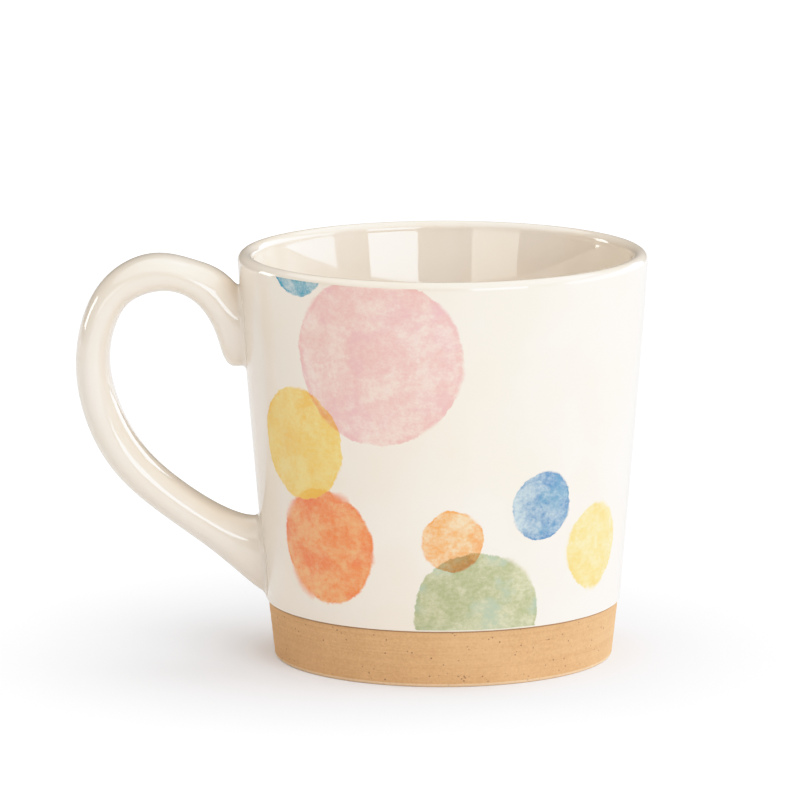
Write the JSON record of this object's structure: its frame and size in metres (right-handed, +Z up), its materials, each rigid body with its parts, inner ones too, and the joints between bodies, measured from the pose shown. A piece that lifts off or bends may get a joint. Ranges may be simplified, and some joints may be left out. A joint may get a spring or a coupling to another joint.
{
  "type": "stoneware mug",
  "caption": "Tapered stoneware mug with a looped strap handle, cream glaze with watercolour dots, and a bare clay band round the foot.",
  "frame": {"origin": "middle of the flat underside, on the cup's axis", "axes": "+Z up the cup's axis, -X towards the handle, -Y towards the side with the large pink dot"},
  "size_m": [0.1396, 0.1, 0.0996],
  "materials": {
    "raw_clay": "bare fired clay, matt, fine turning lines and dark specks",
    "slip": "fired slip, matt",
    "cream_glaze": "glossy cream glaze",
    "yellow_wash": "watercolour wash under a glossy glaze",
    "pink_wash": "watercolour wash under a glossy glaze",
    "orange_wash": "watercolour wash under a glossy glaze",
    "teal_wash": "watercolour wash under a glossy glaze",
    "green_wash": "watercolour wash under a glossy glaze",
    "blue_wash": "watercolour wash under a glossy glaze"
  },
  "bodies": {
    "root": {"clay_cup": "raw_clay", "handle_core": "raw_clay", "upper_joint_slip": "slip", "lower_joint_slip": "slip", "inner_glaze": "cream_glaze", "outer_glaze": "cream_glaze", "handle_glaze": "cream_glaze", "dot_yellow_left": "yellow_wash", "dot_pink_large": "pink_wash", "dot_orange_left": "orange_wash", "dot_blue_rim": "teal_wash", "dot_orange_small": "orange_wash", "dot_green_low": "green_wash", "dot_blue_right": "blue_wash", "dot_yellow_right": "yellow_wash", "dot_back_pink": "pink_wash", "dot_back_yellow": "yellow_wash", "dot_back_blue": "blue_wash", "dot_back_orange": "orange_wash", "dot_back_green": "green_wash", "dot_back_peach": "orange_wash", "dot_back_teal": "teal_wash"}
  },
  "joints": []
}
